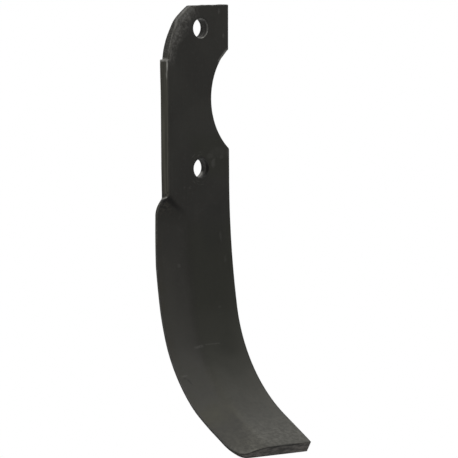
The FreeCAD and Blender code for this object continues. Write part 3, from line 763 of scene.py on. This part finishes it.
def rubbed_and_sheen_colour(s, at):
    """The rubbed steel, which turns olive on the lower bevel; it also colours the painted highlights."""
    olive = at.v.step(-196, -212) * at.v.step(-264, -248) * at.x.step(-4, -32)
    return s.mix(olive, s.mix(at.flat_side, RUBBED_AND_SHEEN_BEVEL, RUBBED_AND_SHEEN_FLAT), RUBBED_AND_SHEEN_OLIVE)


def add_crazing(s, at, colour):
    """Crazed scale by the sheared corner, pits on the lip, and brown along the thin edge."""
    broken = at.mottle.step(0.38, 0.68) * 0.55 + at.crack * 0.3 * at.cloud.step(0.35, 0.6) + 0.1
    colour = s.mix((at.crazing * broken * at.v.step(10, 30)).clip(), colour, CRAZED)
    pits = s.noise(at.flat, 0.55, 4, 0.65).step(0.44, 0.58)
    colour = s.mix((at.crazing * at.v.step(-60, -70) * 0.9).clip(), colour, s.mix(pits, PIT_DARK, PIT_PALE))
    brown = at.x.step(-33, -40) * at.v.step(-92, -110) * at.cloud.step(0.3, 0.6) * 0.4
    return s.mix(brown * (1 - at.v.step(-200, -270) * 0.6), colour, BROWN)


def wall_colour(s, at, cut_end):
    """The walls are browner, drawn along the bar where it was rolled, and torn where it was sheared."""
    lines = s.noise(s.stretch(at.flat, (0.3, 0.02, 1.0)), 0.75, 3, 0.5)
    wall = s.mix(lines.step(0.35, 0.68), WALL_DARK, WALL_PALE)
    torn = s.noise(s.stretch(at.flat, (1, 1, 0.6)), 0.9, 4, 0.6)
    wall = s.mix(at.sheared, wall, s.mix(torn.step(0.35, 0.68), TORN_DARK, TORN_PALE))
    # The cut end is streaked along the bar's width, and paler toward the back and the right.
    streaks = s.noise(s.stretch(at.flat, (0.3, 1, 1)), 0.55, 4, 0.6).step(0.38, 0.64)
    end_tone = (streaks * 0.7 + at.d.step(1.0, 6.0) * 0.2 + at.x.step(12, 22) * 0.3).clip()
    return s.mix(cut_end, wall, s.mix(end_tone, END_DARK, END_PALE))


def dark_edges_and_shadow(at, cut_end):
    """Darker lines on the corners below the ramp, round the cut end and at the top right, and in a line down
    the left side; along the front edge by the cut end it is painted shadow.
    """
    x, v, d, corner = at.x, at.v, at.d, at.corner
    low_blade = corner.step(1.6, 0.3) * v.step(-100, -116) * v.step(-293, -288)
    dark = low_blade.over(corner.step(1.5, 0.5) * cut_end * (1 - x.step(10, 20) * 0.7))
    dark = dark.over(corner.step(1.3, 0.3) * x.step(-2, 6) * v.step(36.5, 39) * 0.9)
    # Painted shadow under the front edge by the cut end.
    end_edge_shadow = corner.step(1.5, 0.3) * v.step(-287.5, -290.5) * x.step(-26, -16) * x.step(20, 10)
    dark = dark.over(end_edge_shadow * at.face * 0.8)
    side_line = d.step(1.6, 2.3) * d.step(3.9, 2.9) * at.side * x.step(-30, -31.5)
    return dark.over(side_line * v.step(-71, -66) * v.step(31, 29) * 0.55)


def lip_tears(at):
    """Torn spots on the side just above the lip."""
    tears = blob(at.v, at.d, -71.4, 7.3, 1.3, 1.2).over(blob(at.v, at.d, -71.6, 4.4, 1.2, 1.3))
    tears = tears.over(blob(at.v, at.d, -70.2, 1.9, 1.2, 0.8))
    return tears * at.x.step(-28, -31) * at.x.step(-34, -33) * 0.85


def crease_painted_shade(at):
    """Painted shade in the crease at the top of the ramp, and a spot of painted shade just below the lip's
    top.
    """
    crease = (at.x - LEFT) * math.sin(CREASE_A) + (at.v - CREASE_V) * math.cos(CREASE_A)
    shade = crease.step(-3.4, -2.0) * (crease.step(0.6, -1.2) * 0.7 + crease.step(4.5, -1.0) * 0.3)
    shade = shade * at.x.step(-16, -28) * at.x.step(-60, -37) * at.face
    return (shade * 0.75).over(blob(at.x, at.v, -34.0, -75.5, 3.6, 1.8) * at.d.step(8.0, 6.0))


def edge_nicks(at):
    """A hooked nick in the bevel by the thin edge."""
    first = streak(at.x, at.v, (-37.2, -211.4), (-34.9, -212.2), 0.8)
    return first.over(streak(at.x, at.v, (-34.9, -212.2), (-33.0, -217.5), 0.8)) * at.face * 0.75


def scratches(at):
    """Fine scratches, parts of two rings round the lower hole, and a bright line along the notch's burred
    corner, partly a painted highlight.
    """
    x, v = at.x, at.v
    lines = streak(x, v, (-21.0, -189.8), (-13.2, -189.1), 1.4) * 0.24
    lines = lines.over(streak(x, v, (-11.0, -188.4), (3.5, -188.6), 0.6) * 0.19)
    lines = lines.over(streak(x, v, (-38.6, -209.4), (-33.5, -209.8), 0.9) * 0.2)
    ring = (x * x + (v + HOLE_V) * (v + HOLE_V)) ** 0.5
    arcs = ((ring - 10.3) ** 2).step(0.35, 0.0).over(((ring - 12.4) ** 2).step(0.35, 0.0))
    arcs = arcs * at.mottle.step(0.40, 0.6)
    arcs = arcs * (v.step(-61, -63) * x.step(5, 0)).over(v.step(-48, -46) * x.step(3, -2))
    # The line along the notch's burred corner is partly a painted highlight.
    return lines.over(arcs * 0.15).over(streak(x, v, (26.8, 35.9), (17.9, 26.7), 2.0) * 1.15)


def bright_marks(at):
    """Small bright marks on the front face, with the partly painted highlight along the notch."""
    wavy_x = at.x + (at.cloud - 0.5) * 5 + (at.grain - 0.5) * 2.5
    wavy_v = at.v + (at.mottle - 0.5) * 5
    spots = blob(wavy_x, wavy_v, 12.0, -49.6, 2.3, 4.2) * 0.19
    spots = spots + blob(wavy_x, wavy_v, 16.5, -42.0, 11.0, 5.5) * 0.07 * (0.4 + at.cloud.step(0.35, 0.6))
    for *mark, amount in MARKS:
        spots = spots.over(blob(wavy_x, wavy_v, *mark) * amount)
    spots = spots.over(scratches(at) * (0.4 + at.grain.step(0.38, 0.6) * 0.8))
    return spots * at.face * at.d.step(8.5, 7.5)


def forged_steel():
    """The blade's finish, from the dark scale up to the bare metal."""
    made, s = material("forged_steel")
    at = Places(s)
    x, v, d = at.x, at.v, at.d
    rubbed_and_highlight = rubbed_and_ridge_highlight(s, at)
    cut_end = v.step(-290, -292.5) * at.side
    colour = s.mix(rubbed_and_highlight, forging_scale(s, at), rubbed_and_sheen_colour(s, at))
    colour = add_crazing(s, at, colour)
    colour = s.mix(at.side.step(0.35, 0.9), colour, wall_colour(s, at, cut_end))
    # Darker edge lines, with painted shadow by the cut end, and the dark oxide round each hole.
    colour = s.mix((dark_edges_and_shadow(at, cut_end) * 0.65).over(at.oxide), colour, OXIDE_AND_SHADOW)
    colour = s.mix(lip_tears(at), colour, TEAR)
    # The holes' walls are banded, and painted darker as shade within the holes, darkest toward the front.
    bore_shade = (x * x).step(92.0, 81.0) * v.step(-70, -62) * at.side.step(0.5, 1.0) * v.step(62, 57)
    bands = s.noise(s.stretch(at.flat, (0.25, 0.25, 1.0)), 0.7, 3, 0.6).step(0.40, 0.62)
    deeper = (v.step(0, -5) * d.step(4.2, 2.8)).over(d.step(1.5, 2.0) * d.step(3.6, 2.8) * 0.6)
    colour = s.mix((bore_shade * (bands * 0.6 + 0.25 + deeper * 0.6)).clip(), colour, BORE_SHADE)
    # Painted shade in the crease above the ramp and just below the lip's top.
    colour = s.mix(crease_painted_shade(at), colour, PAINTED_CREASE_SHADE)
    colour = s.mix(edge_nicks(at), colour, NICK)
    colour = s.mix(bright_marks(at), colour, MARK_AND_HIGHLIGHT)
    # Bare metal on worn corners, and bare metal with painted highlights on the hole rims, ledge, lip and
    # rolled corner.
    patchy = 0.3 + at.mottle.step(0.35, 0.6) * 0.7
    rim = (at.corner.step(1.0, 0.1) * at.wear * patchy).over(at.bare * (0.45 + patchy * 0.55)).clip()
    colour = s.mix(rim * 0.85, colour, BARE_METAL_AND_HIGHLIGHT)

    metallic = (rim * 0.75 + rubbed_and_highlight * 0.18 + bore_shade * deeper * 0.7).clip()
    rough = (0.47 + (at.cloud - 0.5) * 0.25 + (at.grain - 0.5) * 0.2 + at.side * 0.08 - rim * 0.12).clip()
    height = at.mottle * 0.45 + at.grain * 0.4 + s.noise(at.flat, 3.6, 3, 0.6) * 0.15
    normal = s.bump(height * (1 - v.step(-170, -260) * 0.5), 0.3, 0.00035)
    normal = s.bump(at.rub * v.step(-255, -285) + at.crack * at.crazing, 0.35, 0.0003, normal)
    steel = s.node("ShaderNodeBsdfPrincipled", sockets={
        "Base Color": colour, "Metallic": metallic, "Roughness": rough, "Normal": normal,
        "Specular IOR Level": 0.15,
    })
    s.surface(steel)
    return made


mesh.materials.append(forged_steel())
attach(blade, "root")
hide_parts("tiller_blade")

# The camera stands to the left of the blade's face and a little above it, far off with a long lens.
AZIMUTH, ELEVATION, ROLL = math.radians(-41.07), math.radians(5.05), math.radians(-0.37)
DISTANCE_MM = 2504
PX_PER_MM = 1.321
IMAGE_PX = 458
SENSOR = 36.0
DISTANCE = DISTANCE_MM / 1000
FOCAL_PX = PX_PER_MM * DISTANCE_MM
AIM_ACROSS, AIM_UP = 0.0271, -0.09927
flat_way = math.cos(ELEVATION)
back = Vector((math.sin(AZIMUTH) * flat_way, -math.cos(AZIMUTH) * flat_way, math.sin(ELEVATION)))
across = (-back).cross(Vector((0, 0, 1))).normalized()
upward = across.cross(-back)
turned = across * math.cos(ROLL) + upward * math.sin(ROLL)
upward = upward * math.cos(ROLL) - across * math.sin(ROLL)
place = turned * AIM_ACROSS + upward * AIM_UP + back * DISTANCE
camera = bpy.data.objects.new("camera", bpy.data.cameras.new("camera"))
bpy.context.scene.collection.objects.link(camera)
camera.matrix_world = Matrix.Translation(place) @ Matrix((turned, upward, back)).transposed().to_4x4()
camera.data.sensor_width = SENSOR
camera.data.lens = FOCAL_PX / IMAGE_PX * SENSOR
camera.data.clip_end = 50.0
bpy.context.scene.camera = camera


def soft_light(name, where, size, power):
    """A wide lamp that faces the middle of the blade."""
    light = bpy.data.lights.new(name, "AREA")
    light.shape = "RECTANGLE"
    light.size, light.size_y = size
    light.energy = power
    item = bpy.data.objects.new(name, light)
    item.location = where
    item.rotation_euler = (Vector((0, 0, -0.1)) - Vector(where)).to_track_quat("-Z", "Y").to_euler()
    bpy.context.scene.collection.objects.link(item)


soft_light("top_light", (-0.17, -0.6, 1.5), (1.4, 1.4), 26)
soft_light("left_light", (-1.3, -1.0, 0.35), (1.0, 1.4), 9)

# A pale floor below the hanging blade, which turns plain white away from it.
FLOOR_HALF, FLOOR_Z = 6.0, -0.34
corners = [(-FLOOR_HALF, -FLOOR_HALF, 0), (FLOOR_HALF, -FLOOR_HALF, 0)]
corners += [(FLOOR_HALF, FLOOR_HALF, 0), (-FLOOR_HALF, FLOOR_HALF, 0)]
floor_mesh = bpy.data.meshes.new("floor")
floor_mesh.from_pydata(corners, [], [(0, 1, 2, 3)])
floor = bpy.data.objects.new("floor", floor_mesh)
floor.location = (0, 0, FLOOR_Z)
bpy.context.scene.collection.objects.link(floor)
made, s = material("pale_floor")
where = s.node("ShaderNodeTexCoord", output=3)
fx, fy, _ = s.split(where)
away_from_foot = ((fx * fx + (fy + 0.08) * (fy + 0.08)) ** 0.5).step(0.16, 0.38)
paint = s.mix(s.noise(where, 60.0), (0.80, 0.80, 0.80), (0.84, 0.84, 0.84))
plain = s.node("ShaderNodeBsdfPrincipled", sockets={
    "Base Color": paint, "Roughness": 0.9, "Specular IOR Level": 0.1,
})
glow = s.node("ShaderNodeEmission", sockets={"Color": (1.0, 1.0, 1.0)})
s.surface(s.node("ShaderNodeMixShader", sockets={0: s.background_rays() * away_from_foot, 1: plain, 2: glow}))
floor_mesh.materials.append(made)

world = bpy.data.worlds.new("studio")
bpy.context.scene.world = world
world.use_nodes = True
s = Nodes(world.node_tree)
room = s.node("ShaderNodeBackground", sockets={"Color": (1.0, 1.0, 1.0), "Strength": 0.3})
white = s.node("ShaderNodeBackground", sockets={"Color": (1.0, 1.0, 1.0), "Strength": 1.0})
sky = s.node("ShaderNodeMixShader", sockets={0: s.background_rays(), 1: room, 2: white})
s.surface(sky, "ShaderNodeOutputWorld")

bpy.context.scene.view_settings.view_transform = "Standard"
